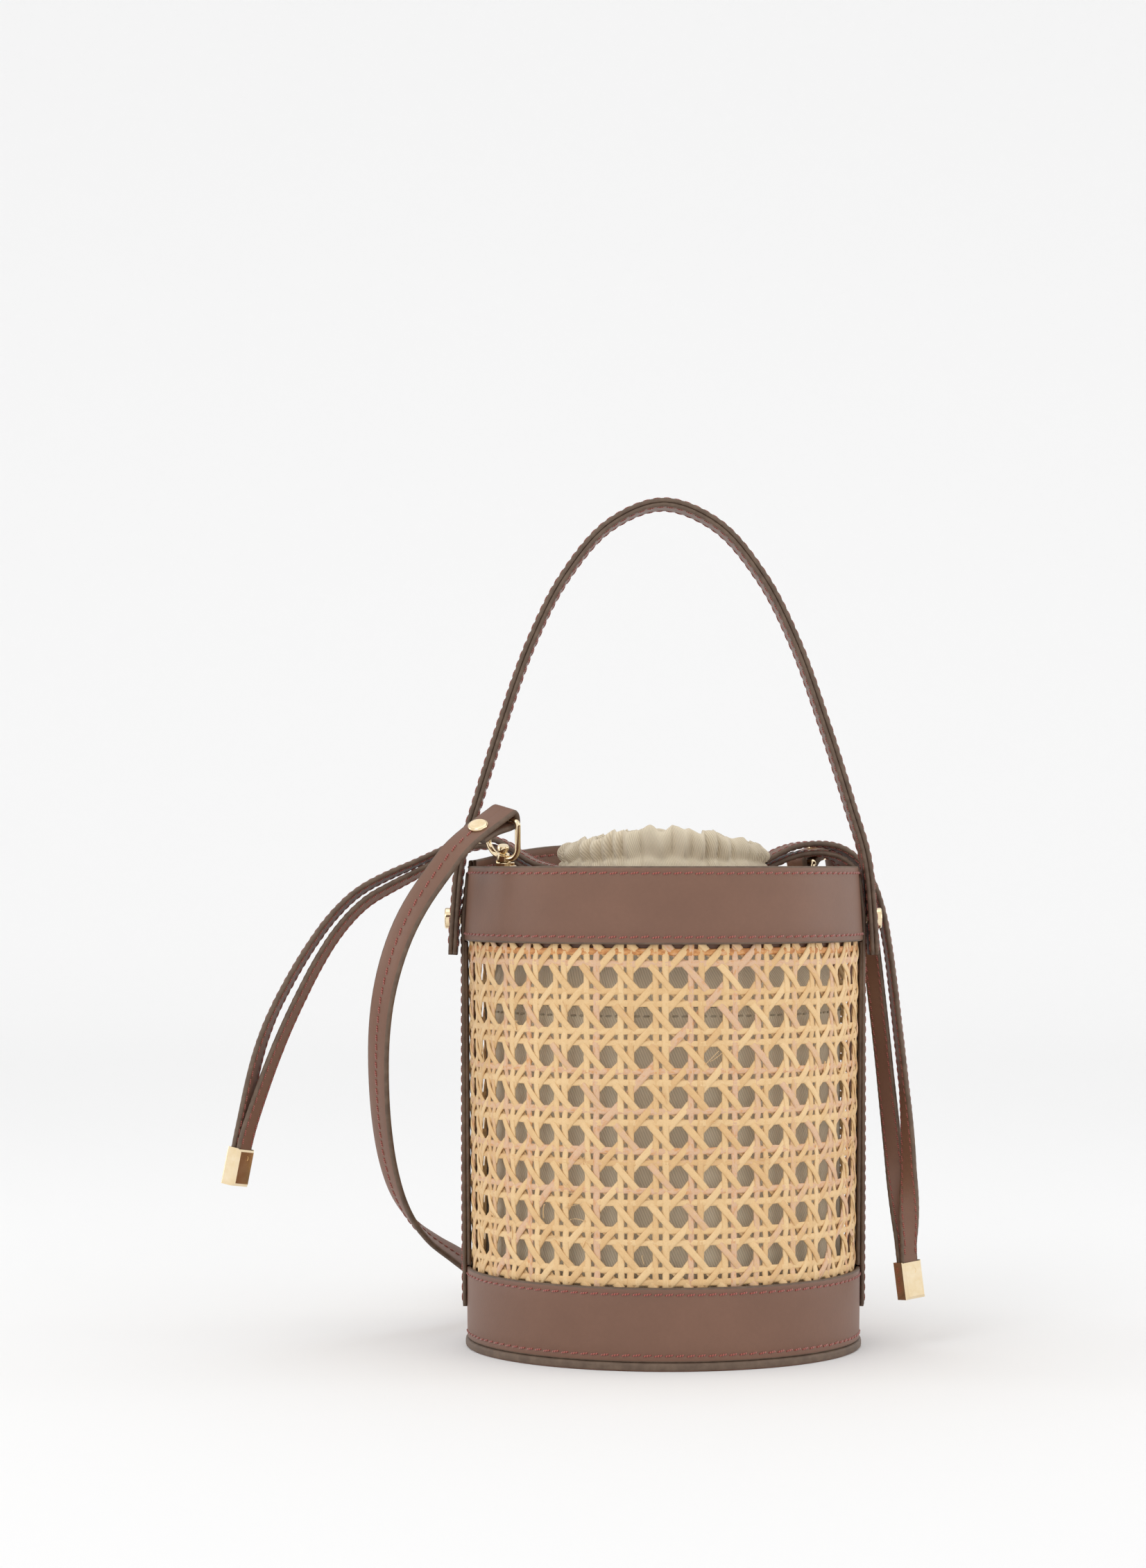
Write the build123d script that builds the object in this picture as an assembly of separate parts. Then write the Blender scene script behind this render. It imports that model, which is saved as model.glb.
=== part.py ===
"""Bucket bag: cane-webbing body with leather bands, handle, shoulder strap and drawstring pouch.

Millimetres, +Z up, origin at the centre of the underside. The front is -Y, +X is to the right.
"""

import math
import os

from build123d import *

# body
RIM_Z = 188.6  # height of the front rim
BASE_R = 77.9
BASE_T = 3.2
BOARD_R = 71.5
BOARD_T = 1.8
LOW_BAND_TOP_Z = 31.3
TOP_BAND_LOW_Z = 159.3
BAND_T = 1.7  # leather of the bands
CANE_T = 1.8
CANE_LOW_R = 75.8  # outside of the cane at the bottom band
CANE_TOP_R = 77.1  # outside of the cane at the top band
RIM_R = 77.0  # outside of the top band at the rim
FACING_R = 73.9  # inside of the leather facing
CANE_HIDDEN = 4.5  # how far the cane runs up behind the top band
STRIP_W = 14.0
STRIP_T = 1.7
STRIP_TOP_Z = 186.0
STRIP_LOW_Z = 15.0
BACK_RIM_HEIGHTS = [(-82, 190.6), (-76, 191.0), (-61, 194.5), (-41, 197.2), (-15, 196.6),
                    (15, 192.6), (40, 188.9), (60, 188.6), (82, 188.6)]

# handle
STUD_Z = 168.0
HANDLE_W = 20.0
HANDLE_LAYER_T = 1.75
HANDLE_OUTLINE = [(84.7, 153.8), (83.9, 168.0), (81.5, 192.0), (75.3, 213.3), (65.6, 244.3),
                  (53.8, 277.3), (40.3, 303.8), (22.0, 324.8), (0.0, 333.2)]
STUD_POST_R = 2.2
STUD_HEAD_R = 4.1
STUD_HEAD_T = 2.1
STUD_X = 84.1  # underside of the stud head
SCREW_STEM_R = 1.2

# D-rings, their tabs and the strap clasps
RING_BAR_R = 70.0
RING_WIRE_R = 1.0
RING_HALF_W = 6.6
RING_DEPTH = 9.5
TAB_W = 11.0
TAB_T = 1.3
TAB_TOP_Z = 184.0
CLASP_LENGTH = 33.0  # from the D-ring's wire to the eye's bar
HOOK_WIRE_R = 1.2
HOOK_R = 3.6
EYE_BASE = 16.8
EYE_HALF_W = 7.7
EYE_WIRE_R = 1.1
GATE_PIVOT = (-3.4, 10.0)
GATE_PIN_R = 0.6

# shoulder strap
STRAP_W = 12.0
STRAP_T = 2.4
FOLD_R = 2.8  # from the eye's bar to the middle of the leather
RIVET_R = 4.0
RIVET_T = 1.2
CLEAR_RUN = 5.6  # straight strap beyond the folded end

# drawstring laces and their caps
LACE_W = 8.0
LACE_T = 2.1
CAP_W = 9.6
CAP_D = 6.8
CAP_H = 14.7
CAP_POCKET = 10.0
CAP_SCREW_R = 1.1

# pouch
CLOTH_T = 1.2
POUCH_R = 71.0
POUCH_SEAM_Z = 134.0
NECK_Z = 172.0
NECK_R = 39.0
CHANNEL_LOW_Z = 180.0
CHANNEL_TOP_Z = 192.5
RUFFLE_TOP_Z = 203.6

LEFT_STRAP = {
    "azimuth": 193.5, "bar_z": 168.7, "ring_tilt": 35.0, "clasp": (0.0, -0.36, 0.933),
    "across": (0.756, -0.611, -0.236), "leg": 17.0, "rivet": 13.6,
}
RIGHT_STRAP = {
    "azimuth": 34.6, "bar_z": 161.0, "ring_tilt": 104.0, "clasp": (0.228, 0.157, 0.961),
    "across": (0.568, -0.823, 0.0), "leg": 11.6, "rivet": 8.7,
}
LEFT_STRAP_RUN = Vector(-0.60, -0.62, -0.50)
RIGHT_STRAP_RUN = Vector(0.79, 0.545, 0.28)

# the strap's way between its two folded ends: down the left side, once round the floor
# behind the bag on its edge, and up the back
STRAP_ROUTE = [
    (-76.4, -41.2, 198.6), (-86.2, -43.0, 187.6), (-95.9, -42.4, 174.0), (-103.0, -39.0, 159.5),
    (-108.3, -33.0, 142.0), (-111.0, -24.0, 124.5), (-111.8, -13.0, 106.5), (-111.4, -1.5, 88.0),
    (-109.3, 9.5, 69.5), (-105.0, 20.5, 53.5), (-97.5, 32.0, 41.0), (-88.5, 44.0, 33.0),
    (-80.0, 56.0, 26.0), (-72.0, 70.0, 18.0), (-65.5, 87.0, 11.0), (-62.0, 108.0, 7.4),
    (-64.0, 137.0, 6.5), (-63.5, 167.0, 6.4), (-53.0, 195.0, 6.5), (-30.0, 214.0, 6.4),
    (0.0, 221.0, 6.5), (31.0, 215.0, 6.4), (53.0, 196.0, 6.5), (63.0, 168.0, 6.4),
    (63.0, 138.0, 6.8), (59.0, 112.0, 8.5), (56.5, 91.0, 15.0), (58.5, 76.0, 30.0),
    (62.5, 67.0, 52.0), (66.0, 61.0, 80.0), (69.0, 56.0, 110.0), (70.5, 53.0, 138.0),
    (71.5, 51.0, 157.5), (72.6, 50.2, 173.0), (72.8, 50.0, 184.8),
]
# which way the strap's width points, by place in the route
STRAP_ACROSS = {
    0: (0.756, -0.611, -0.236), 1: (0.756, -0.611, -0.236), 5: (0.66, -0.66, -0.36),
    9: (0.62, -0.62, -0.48), 12: (0.50, -0.42, -0.76), 15: (0.05, 0.0, -1.0),
    25: (0.0, 0.0, -1.0), 30: (0.60, -0.79, -0.15), 36: (0.568, -0.823, 0.0),
}
LACE_ROUTES = {
    "lace_left_upper": [
        (-38.3, 12.0, 187.0), (-48.0, 19.0, 188.4), (-57.0, 26.5, 193.6), (-65.0, 32.3, 199.4),
        (-75.0, 33.8, 200.2), (-85.5, 30.0, 196.2), (-97.0, 24.0, 190.4), (-109.5, 18.5, 185.0),
        (-121.5, 13.5, 178.6), (-131.5, 9.0, 168.6), (-140.3, 4.8, 156.0), (-148.0, 1.0, 142.6),
        (-154.2, -3.0, 130.0), (-158.8, -6.3, 117.0), (-161.9, -9.0, 103.5), (-164.2, -10.9, 90.0),
        (-166.3, -11.8, 79.0),
    ],
    "lace_left_lower": [
        (-38.7, 13.0, 183.8), (-48.5, 20.0, 185.0), (-57.8, 27.3, 190.2), (-65.2, 32.9, 196.2),
        (-74.8, 34.0, 196.9), (-85.5, 29.8, 192.6), (-96.8, 23.5, 186.3), (-107.6, 18.0, 180.6),
        (-118.3, 13.7, 174.6), (-128.2, 9.2, 164.0), (-136.0, 5.0, 151.6), (-143.0, 0.8, 137.5),
        (-149.3, -3.2, 123.5), (-154.5, -6.8, 110.0), (-158.6, -9.8, 98.0), (-162.0, -12.3, 87.5),
        (-164.2, -13.4, 79.0),
    ],
    "lace_right_upper": [
        (39.3, 11.0, 190.6), (46.0, 15.5, 194.4), (53.4, 20.8, 196.9), (61.4, 25.8, 197.7),
        (69.4, 29.6, 197.0), (76.2, 31.6, 193.6), (81.8, 31.4, 187.6), (86.0, 29.4, 179.0),
        (88.9, 26.0, 168.6), (90.8, 21.6, 156.0), (92.2, 16.6, 141.5), (93.4, 11.8, 126.5),
        (94.7, 6.8, 111.5), (95.8, 1.9, 96.5), (96.4, -3.2, 80.5), (96.5, -6.6, 64.0),
        (96.3, -8.4, 48.0), (96.0, -8.1, 35.0),
    ],
    "lace_right_lower": [
        (39.1, 12.4, 187.4), (46.4, 16.9, 190.8), (53.8, 22.0, 193.3), (61.3, 26.7, 194.1),
        (68.4, 30.2, 193.2), (74.2, 31.8, 190.0), (78.6, 31.3, 184.2), (81.4, 29.3, 175.6),
        (83.2, 26.2, 165.0), (84.5, 21.9, 151.5), (85.8, 17.0, 136.5), (87.3, 12.2, 120.0),
        (88.8, 9.4, 103.0), (90.3, 5.5, 86.0), (91.8, 1.8, 69.0), (93.2, -2.4, 52.5),
        (94.8, -6.2, 35.0),
    ],
}
LACE_ACROSS = {
    "left_upper": {0: (-0.62, -0.78, 0.0), 4: (-0.16, -0.98, 0.06), 7: (-0.12, -0.96, 0.20),
                   12: (-0.20, -0.95, 0.20), 16: (-0.60, -0.80, 0.05)},
    "left_lower": {0: (-0.62, -0.78, 0.0), 4: (-0.16, -0.98, 0.06), 7: (-0.16, -0.92, 0.32),
                   12: (-0.36, -0.86, 0.30), 16: (-0.60, -0.80, 0.05)},
    "right_upper": {0: (0.62, -0.78, 0.0), 5: (0.42, -0.90, 0.05), 9: (0.16, -0.97, -0.10),
                    13: (0.24, -0.96, -0.15), 15: (0.62, -0.76, -0.10), 17: (0.84, 0.54, 0.10)},
    "right_lower": {0: (0.62, -0.78, 0.0), 5: (0.62, -0.78, 0.0), 8: (0.84, -0.52, 0.0),
                    12: (0.80, -0.58, 0.05), 14: (0.86, -0.40, 0.0), 16: (0.84, 0.54, 0.10)},
}
# each cap: middle of its mouth, the way it hangs, the way its width points
CAPS = {
    "left": ((-165.25, -12.6, 78.2), (-0.185, -0.03, -0.98), (0.60, 0.80, 0.0)),
    "right": ((95.75, -7.15, 33.4), (0.12, -0.02, -0.99), (0.84, 0.54, 0.0)),
}


def line_at(z, low, high):
    """Radius at height z on the straight line between two (radius, height) points."""
    return low[0] + (high[0] - low[0]) * (z - low[1]) / (high[1] - low[1])


def cane_r(z):
    return line_at(z, (CANE_LOW_R, LOW_BAND_TOP_Z), (CANE_TOP_R, TOP_BAND_LOW_Z))


def band_inner_r(z):
    return line_at(z, (CANE_TOP_R, TOP_BAND_LOW_Z), (RIM_R - BAND_T, RIM_Z))


def turned(profile, degrees=360.0):
    """A body of revolution about Z from (radius, height) corners, starting at +X."""
    face = make_face(Polyline(*[(r, 0, z) for r, z in profile], close=True))
    return revolve(face, Axis.Z, degrees)


def half(profile, side):
    """Half of a body of revolution: the back half, or the front half."""
    back = turned(profile, 180.0)
    return back if side == "back" else back.rotate(Axis.Z, 180.0)


def across_x(radius, start, end, z):
    """A round bar along X between two places."""
    bar = Cylinder(radius, end - start, rotation=(0, 90, 0))
    return bar.moved(Location(((start + end) / 2, 0, z)))


def stud_holes():
    return across_x(STUD_POST_R, -90, 90, STUD_Z)


def above_back_rim():
    """Everything higher than the back panel's wavy upper edge."""
    crest = Spline(*[(x, 0, z) for x, z in BACK_RIM_HEIGHTS])
    start, end = crest @ 0, crest @ 1
    top = RIM_Z + 30
    sides = Polyline(end, (end.X, 0, top), (start.X, 0, top), start)
    return extrude(make_face([crest, sides]), amount=100, dir=(0, 1, 0))


def frame_plane(origin, up, across):
    """A plane whose Z is up and whose X is the part of across that is square to it."""
    up = Vector(*up).normalized()
    across = Vector(*across)
    across = (across - up * across.dot(up)).normalized()
    return Plane(origin=origin, x_dir=across, z_dir=up)


def placed(shape, plane):
    return shape.moved(plane.location)


# body of the bag


def base_panel():
    disc = Cylinder(BASE_R, BASE_T, align=(Align.CENTER, Align.CENTER, Align.MIN))
    return fillet(disc.edges(), 0.5)


def base_board():
    board = Cylinder(BOARD_R, BOARD_T, align=(Align.CENTER, Align.CENTER, Align.MIN))
    return board.moved(Location((0, 0, BASE_T)))


def bottom_band(side):
    low, high = BASE_T, LOW_BAND_TOP_Z
    profile = [(cane_r(low), low), (cane_r(low) + BAND_T, low),
               (cane_r(high) + BAND_T, high), (cane_r(high), high)]
    return half(profile, side)


def cane_panel(side):
    low, join, high = BASE_T, TOP_BAND_LOW_Z, TOP_BAND_LOW_Z + CANE_HIDDEN
    outer = [(cane_r(low), low), (cane_r(join), join), (band_inner_r(high), high)]
    inner = [(r - CANE_T, z) for r, z in reversed(outer)]
    return half(outer + inner, side)


def top_band(side):
    low, high = TOP_BAND_LOW_Z, RIM_Z + (12 if side == "back" else 0)
    profile = [(band_inner_r(low), low), (band_inner_r(low) + BAND_T, low),
               (band_inner_r(high) + BAND_T, high), (band_inner_r(high), high)]
    band = half(profile, side) - stud_holes()
    return band - above_back_rim() if side == "back" else band


def top_facing(side):
    low, high = TOP_BAND_LOW_Z - 2.3, RIM_Z + (12 if side == "back" else 0)
    step = TOP_BAND_LOW_Z + CANE_HIDDEN
    profile = [(FACING_R, low), (cane_r(low) - CANE_T, low), (band_inner_r(step) - CANE_T, step),
               (band_inner_r(step), step), (band_inner_r(high), high), (FACING_R - 0.4, high),
               (FACING_R, RIM_Z)]
    facing = half(profile, side) - stud_holes()
    return facing - above_back_rim() if side == "back" else facing


def side_strip():
    """The leather strip over the right seam, doubled where it bridges the cane."""
    low, high = STRIP_LOW_Z, STRIP_TOP_Z
    inner = [(cane_r(low) + BAND_T, low), (cane_r(LOW_BAND_TOP_Z) + BAND_T, LOW_BAND_TOP_Z),
             (cane_r(LOW_BAND_TOP_Z), LOW_BAND_TOP_Z), (CANE_TOP_R, TOP_BAND_LOW_Z),
             (CANE_TOP_R + BAND_T, TOP_BAND_LOW_Z), (band_inner_r(high) + BAND_T, high)]
    outer = [(band_inner_r(high) + BAND_T + 0.7, high), (79.6, STUD_Z - 2), (79.5, 158.0),
             (cane_r(low) + BAND_T + STRIP_T, low)]
    ring = turned(inner + outer)
    outline = Rectangle(STRIP_W, high - low)
    window = extrude(Plane.YZ * fillet(outline.vertices(), 5.5), amount=100)
    return (ring & window.moved(Location((0, 0, (low + high) / 2)))) - stud_holes()


def seam_facing():
    """The thin leather strip inside the right seam."""
    low, high = 20.0, TOP_BAND_LOW_Z - 2.3
    profile = [(cane_r(low) - CANE_T, low), (cane_r(high) - CANE_T, high),
               (cane_r(high) - CANE_T - 1.3, high), (cane_r(low) - CANE_T - 1.3, low)]
    window = Box(100, STRIP_W, 400, align=(Align.MIN, Align.CENTER, Align.CENTER))
    return turned(profile) & window


# handle


def handle_curve(depth):
    """The handle's outline in the XZ plane, moved inwards by depth."""
    right = [Vector(x, 0, z) for x, z in HANDLE_OUTLINE]
    left = [Vector(-p.X, 0, p.Z) for p in reversed(right[:-1])]
    outline = Spline(*right, *left)
    if depth == 0:
        return outline
    steps = 48
    points = []
    for i in range(steps + 1):
        along = outline % (i / steps)
        points.append(outline @ (i / steps) + Vector(-along.Z, 0, along.X) * depth)
    return Spline(*points)


def handle_layer(outer_depth, inner_depth):
    outer, inner = handle_curve(outer_depth), handle_curve(inner_depth)
    ends = [Line(outer @ 0, inner @ 0), Line(outer @ 1, inner @ 1)]
    side = make_face([outer, inner, *ends])
    band = extrude(side, amount=HANDLE_W / 2, dir=(0, 1, 0), both=True)
    tips = band.edges().filter_by(lambda e: e.center().Z < HANDLE_OUTLINE[0][1] + 2)
    tips = tips.filter_by(lambda e: e.length < 2 * HANDLE_LAYER_T and abs(e.center().Y) > 5)
    return fillet(tips, 4.0) - across_x(STUD_POST_R + 0.3, -90, 90, STUD_Z)


def handle_stud():
    """Head and hollow post of the screw post on the right, through leather and facing."""
    head = across_x(STUD_HEAD_R, STUD_X, STUD_X + STUD_HEAD_T, STUD_Z)
    head = fillet(head.edges().sort_by(Axis.X)[-1:], 0.6)
    post = across_x(STUD_POST_R, FACING_R, STUD_X, STUD_Z)
    return head + post - across_x(SCREW_STEM_R, FACING_R, FACING_R + 7, STUD_Z)


def handle_screw():
    """The screw inside the bag, with its slotted head."""
    head = across_x(3.9, FACING_R - 1.8, FACING_R - 0.1, STUD_Z)
    stem = across_x(SCREW_STEM_R, FACING_R - 0.2, FACING_R + 6, STUD_Z)
    slot = Box(0.8, 1.0, 9.0).moved(Location((FACING_R - 1.8, 0, STUD_Z)))
    return head + stem - slot


# tabs, rings and clasps


def wall_plane(end):
    """At the D-ring's bar: X points out to the wall, Y along it, Z up."""
    azimuth = math.radians(end["azimuth"])
    out = Vector(math.cos(azimuth), math.sin(azimuth), 0)
    bar = out * RING_BAR_R + Vector(0, 0, end["bar_z"])
    return Plane(origin=bar, x_dir=out, z_dir=(0, 0, 1))


def ring_plane(end):
    """At the D-ring's bar: X along the bar, Z towards the round end."""
    wall = wall_plane(end)
    tilt = math.radians(end["ring_tilt"])
    reach = wall.x_dir * -math.sin(tilt) + Vector(0, 0, math.cos(tilt))
    return Plane(origin=wall.origin, x_dir=wall.y_dir, z_dir=reach)


def clasp_plane(end, across):
    """At the D-ring's round end: Z along the clasp, X across it."""
    ring = ring_plane(end)
    grab = ring.origin + ring.z_dir * RING_DEPTH
    return frame_plane(grab, end["clasp"], across)


def ring_tab(end):
    """A leather strip folded round the D-ring's bar and sewn to the facing."""
    r, wall = RING_WIRE_R + 0.3 + TAB_T / 2, FACING_R - RING_BAR_R - TAB_T / 2 - 0.25
    rise = TAB_TOP_Z - end["bar_z"]
    corners = [(wall, rise), (wall, 5.5), (r, 1.6), (r, -r), (-r, -r), (-r, 0.5),
               (wall - TAB_T - 0.02, 6.5), (wall - TAB_T - 0.02, rise)]
    band = folded_band(corners, [3, 3, 0.97 * r, 0.97 * r, 2, 2], TAB_T, TAB_W)
    return placed(band, wall_plane(end))


def folded_band(corners, radii, thickness, width):
    """A flat band of even thickness folded along a line in the XZ plane."""
    path = FilletPolyline(*[(x, 0, z) for x, z in corners], radius=radii)
    section = Plane(origin=path @ 0, x_dir=(0, 1, 0), z_dir=path % 0) * Rectangle(width, thickness)
    return sweep(section, path=path)


def wire_ring(points, radii, wire_r):
    """A closed ring of round wire through corners in the XZ plane."""
    path = FilletPolyline(*[(x, 0, z) for x, z in points], radius=radii, close=True)
    start = path @ 0
    section = Plane(origin=start, z_dir=path % 0) * Circle(wire_r)
    return sweep(section, path=path)


def d_ring(end):
    w, h = RING_HALF_W, RING_DEPTH
    corners = [(0, 0), (w, 0), (w, h), (-w, h), (-w, 0)]
    return placed(wire_ring(corners, [0, 1.6, 6.0, 6.0, 1.6], RING_WIRE_R), ring_plane(end))


def hook_eye(end):
    w, low, high = EYE_HALF_W, EYE_BASE, CLASP_LENGTH
    corners = [(0, low), (w, low), (w, high), (-w, high), (-w, low)]
    ring = wire_ring(corners, [0, 5.6, 1.3, 1.3, 5.6], EYE_WIRE_R)
    boss = Cylinder(2.5, 2 * EYE_WIRE_R).moved(Location((0, 0, low)))
    bore = Cylinder(1.4, 6).moved(Location((0, 0, low)))
    return placed(ring + boss - bore, clasp_plane(end, end["across"]))


def hook_body(end):
    """The sprung hook: wire hook, collar, gate cheeks, and the swivel post with its head."""
    r, bottom = HOOK_R, -RING_WIRE_R - 0.3 - HOOK_WIRE_R
    corners = [(-r, 5.4), (-r, bottom), (r, bottom), (r, 9.0), (0, 12.8), (0, 13.6)]
    path = FilletPolyline(*[(x, 0, z) for x, z in corners], radius=[3.55, 3.55, 2.6, 0.6])
    section = Plane(origin=path @ 0, z_dir=path % 0) * Circle(HOOK_WIRE_R)
    body = sweep(section, path=path)
    collar = Cylinder(3.0, 2.9).moved(Location((0, 0, 13.95)))
    collar = fillet(collar.edges(), 0.5)
    post = Cylinder(1.1, 5).moved(Location((0, 0, 17.0)))
    knob = Sphere(2.3).moved(Location((0, 0, 20.4)))
    knob = knob & Box(6, 6, 3.2).moved(Location((0, 0, 20.0)))
    cheek = Box(3.4, 0.85, 4.6).moved(Location((-3.1, 1.775, 11.1)))
    cheeks = cheek + cheek.mirror(Plane.XZ)
    pin_bore = Cylinder(GATE_PIN_R, 8, rotation=(90, 0, 0)).moved(gate_location())
    return placed(body + collar + post + knob + cheeks - pin_bore, hook_plane(end))


def hook_plane(end):
    """The hook turns on its swivel to lie square to the D-ring's wire."""
    return clasp_plane(end, wall_plane(end).x_dir)


def gate_location():
    return Location((GATE_PIVOT[0], 0, GATE_PIVOT[1]))


def hook_gate(end):
    """The lever that closes the hook, with its thumb nub."""
    x, z = GATE_PIVOT
    barrel = Cylinder(1.2, 2.0, rotation=(90, 0, 0)).moved(Location((x, 0, z)))
    lever = Box(1.5, 2.0, z - 5.8).moved(Location((x - 0.15, 0, (z + 5.8) / 2)))
    nub = Cylinder(0.8, 2.0, rotation=(90, 0, 0)).moved(Location((x - 1.2, 0, 7.4)))
    bore = Cylinder(GATE_PIN_R + 0.1, 8, rotation=(90, 0, 0)).moved(gate_location())
    return placed(barrel + lever + nub - bore, hook_plane(end))


def gate_pin(end):
    pin = Cylinder(GATE_PIN_R, 4.8, rotation=(90, 0, 0)).moved(gate_location())
    return placed(pin, hook_plane(end))


# shoulder strap


def fold_plane(end, run):
    """At the eye's bar: X along the strap away from the fold, Y across it, Z out of its face."""
    clasp = clasp_plane(end, end["across"])
    bar = clasp.origin + clasp.z_dir * CLASP_LENGTH
    across = clasp.x_dir
    run = (run - across * run.dot(across)).normalized()
    face = run.cross(across)
    if face.Z < 0:
        face = face * -1
    return Plane(origin=bar, x_dir=run, z_dir=face)


def strap_fold(end, run):
    """The strap's end, turned round the eye's bar and lying back under the strap."""
    r, leg = FOLD_R, end["leg"]
    close = r - STRAP_T - 0.05
    corners = [(0, r), (-r, r), (-r, -r), (0.9, -r), (leg - 6.5, close), (leg, close)]
    solid = folded_band(corners, [0.97 * r, 0.97 * r, 2.5, 2.5], STRAP_T, STRAP_W)
    hole = Cylinder(1.25, 20).moved(Location((end["rivet"], 0, 0)))
    return placed(solid - hole, fold_plane(end, run))


def strap_rivet(end, run):
    """A two-sided rivet: domed cap, shank and back cap."""
    top = FOLD_R + STRAP_T / 2
    back = FOLD_R - 1.5 * STRAP_T - 0.05
    cap = Cylinder(RIVET_R, RIVET_T).moved(Location((0, 0, top + RIVET_T / 2 + 0.02)))
    cap = fillet(cap.edges().sort_by(Axis.Z)[-1:], 0.9)
    base = Cylinder(RIVET_R - 0.6, 0.8).moved(Location((0, 0, back - 0.45)))
    shank = Cylinder(1.2, top - back + 1).moved(Location((0, 0, (top + back) / 2)))
    return placed((cap + base + shank).moved(Location((end["rivet"], 0, 0))), fold_plane(end, run))


def strap_route():
    """The whole strap between its folds, from the left clasp to the right one."""
    left, right = fold_plane(LEFT_STRAP, LEFT_STRAP_RUN), fold_plane(RIGHT_STRAP, RIGHT_STRAP_RUN)
    start = left.origin + left.z_dir * FOLD_R
    end = right.origin + right.z_dir * FOLD_R
    lead = end + right.x_dir * (RIGHT_STRAP["leg"] + CLEAR_RUN)
    middle = [Vector(*p) for p in STRAP_ROUTE]
    middle[0] = start + left.x_dir * (LEFT_STRAP["leg"] + CLEAR_RUN + 2)
    return [start, *middle, lead, end]


# flat cords


def corner_radii(route):
    """The largest arc that the two runs at each corner have room for."""
    radii = []
    for before, corner, after in zip(route, route[1:], route[2:]):
        into, out = corner - before, after - corner
        turn = math.radians(into.get_angle(out))
        radii.append(0.45 * min(into.length, out.length) / math.tan(turn / 2))
    return radii


def direction_at(across, place):
    """The width direction at a place in the route, between the given ones."""
    keys = sorted(across)
    low = max([k for k in keys if k <= place], default=keys[0])
    high = min([k for k in keys if k >= place], default=keys[-1])
    share = 0 if high == low else (place - low) / (high - low)
    return Vector(*across[low]) * (1 - share) + Vector(*across[high]) * share


def flat_cord(name, route, across, width, thickness):
    """A flat strap or lace: a rectangle carried along straight runs joined by tangent arcs."""
    radii = corner_radii(route)
    path = Wire(FilletPolyline(*route, radius=radii).edges())
    lengths = [0.0]
    for a, b in zip(route, route[1:]):
        lengths.append(lengths[-1] + (b - a).length)
    sections = []
    done = 0.0
    edges = path.edges()
    for edge in edges:
        bend = (edge % 0).get_angle(edge % 1)
        steps = max(1, math.ceil(edge.length / 9.0), math.ceil(bend / 9.0))
        for i in range(steps + (edge is edges[-1])):
            spot, along = edge @ (i / steps), edge % (i / steps)
            share = (done + edge.length * i / steps) / path.length * lengths[-1]
            run = max(k for k, total in enumerate(lengths[:-1]) if total <= share + 1e-9)
            place = run + (share - lengths[run]) / (lengths[run + 1] - lengths[run])
            sections.append(section_at(spot, along, direction_at(across, place), width, thickness))
        done += edge.length
    solid = Solid.make_loft(sections, ruled=True)
    expected = width * thickness * path.length
    print(name, "length", round(path.length, 1), "radii", [round(r, 1) for r in radii])
    print(name, "volume against section times length", round(solid.volume / expected, 3))
    return solid


def section_at(spot, along, across, width, thickness):
    plane = frame_plane(spot, along, across)
    w, t = plane.x_dir * (width / 2), plane.y_dir * (thickness / 2)
    return Wire(Polyline(spot + w + t, spot - w + t, spot - w - t, spot + w - t, close=True).edges())


def strap_with_holes(solid):
    """Holes for the two rivets' shanks."""
    for end, run in ((LEFT_STRAP, LEFT_STRAP_RUN), (RIGHT_STRAP, RIGHT_STRAP_RUN)):
        hole = Cylinder(1.25, 8).moved(Location((end["rivet"], 0, FOLD_R)))
        solid = solid - placed(hole, fold_plane(end, run))
    return solid


def shoulder_strap():
    route = strap_route()
    return strap_with_holes(flat_cord("shoulder_strap", route, STRAP_ACROSS, STRAP_W, STRAP_T))


def lace(name):
    side = name.split("_")[1]
    mouth, down, _ = CAPS[side]
    route = [Vector(*p) for p in LACE_ROUTES[name]]
    route.append(route[-1] + Vector(*down).normalized() * 7.0)
    return flat_cord(name, route, LACE_ACROSS[name.replace("lace_", "")], LACE_W, LACE_T)


# lace caps


def cap_plane(side):
    """At the middle of the cap's mouth: X along its width, Y out of its screwed face."""
    mouth, down, across = CAPS[side]
    return frame_plane(mouth, Vector(*down) * -1, across)


def end_cap(side):
    block = Box(CAP_W, CAP_D, CAP_H, align=(Align.CENTER, Align.CENTER, Align.MAX))
    face = front_sign(side)
    front = block.faces().sort_by(Axis.Y)[-1 if face > 0 else 0]
    block = chamfer(front.edges(), 1.1)
    upright = block.edges().filter_by(Axis.Z).sort_by(Axis.Y)
    block = fillet(upright[:2] if face > 0 else upright[-2:], 0.8)
    pocket = Box(LACE_W + 0.7, 2 * LACE_T + 1.0, CAP_POCKET,
                 align=(Align.CENTER, Align.CENTER, Align.MAX))
    bore = Cylinder(CAP_SCREW_R, 3, rotation=(90, 0, 0)).moved(screw_location(side))
    return placed(block - pocket - bore, cap_plane(side))


def front_sign(side):
    """Which of the cap's two wide faces looks to the front of the bag."""
    return 1 if cap_plane(side).y_dir.Y < 0 else -1


def screw_location(side):
    return Location((0, front_sign(side) * (CAP_D / 2 - 0.45), -3.6))


def cap_screw(side):
    screw = Cylinder(CAP_SCREW_R, 0.7, rotation=(90, 0, 0)).moved(screw_location(side))
    return placed(screw, cap_plane(side))


# pouch


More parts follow.
